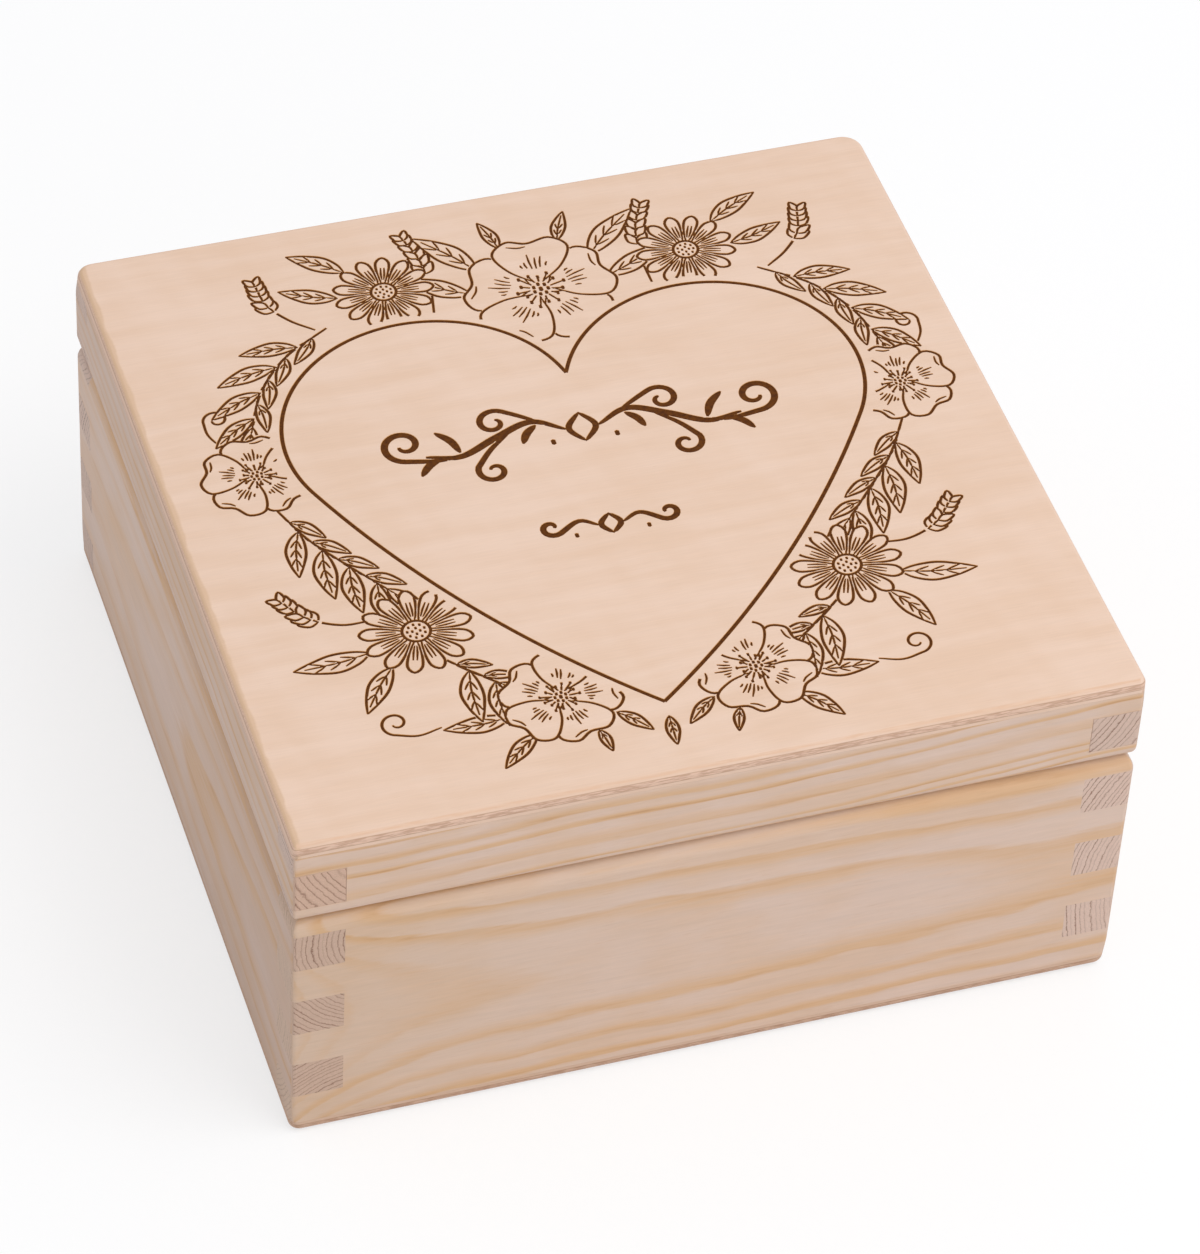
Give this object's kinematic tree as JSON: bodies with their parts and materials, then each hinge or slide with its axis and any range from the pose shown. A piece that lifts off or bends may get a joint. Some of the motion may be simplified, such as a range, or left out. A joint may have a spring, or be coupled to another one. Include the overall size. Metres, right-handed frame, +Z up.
{
  "type": "hinged wooden keepsake box",
  "caption": "Square pine box with a hinged plywood-topped lid, finger-jointed corners and rounded edges, for papers and keepsakes.",
  "frame": {"origin": "under the middle of the box, on the surface that it stands on", "axes": "+X to the right and +Y to the hinged back, seen from the front, and +Z up"},
  "size_m": [0.22, 0.22, 0.105],
  "materials": {
    "pine": "sanded, unfinished",
    "plywood": "sanded, unfinished",
    "hinge_brass": "polished",
    "screw_brass": "polished",
    "pin_steel": "drawn"
  },
  "bodies": {
    "base": {"base_front_wall": "pine", "base_back_wall": "pine", "base_left_wall": "pine", "base_right_wall": "pine", "base_bottom_panel": "plywood", "hinge_left_base_leaf": "hinge_brass", "hinge_left_pin": "pin_steel", "hinge_left_base_screws": "screw_brass", "hinge_right_base_leaf": "hinge_brass", "hinge_right_pin": "pin_steel", "hinge_right_base_screws": "screw_brass"},
    "lid": {"lid_front_strip": "pine", "lid_back_strip": "pine", "lid_left_strip": "pine", "lid_right_strip": "pine", "lid_top_panel": "plywood", "hinge_left_lid_leaf": "hinge_brass", "hinge_left_lid_screws": "screw_brass", "hinge_right_lid_leaf": "hinge_brass", "hinge_right_lid_screws": "screw_brass"}
  },
  "joints": [
    {"name": "lid_hinge", "type": "hinge", "parent": "base", "child": "lid", "pos_m": [0, 0.108, 0.078], "axis": [-1, 0, 0], "range_deg": [0, 100]}
  ]
}
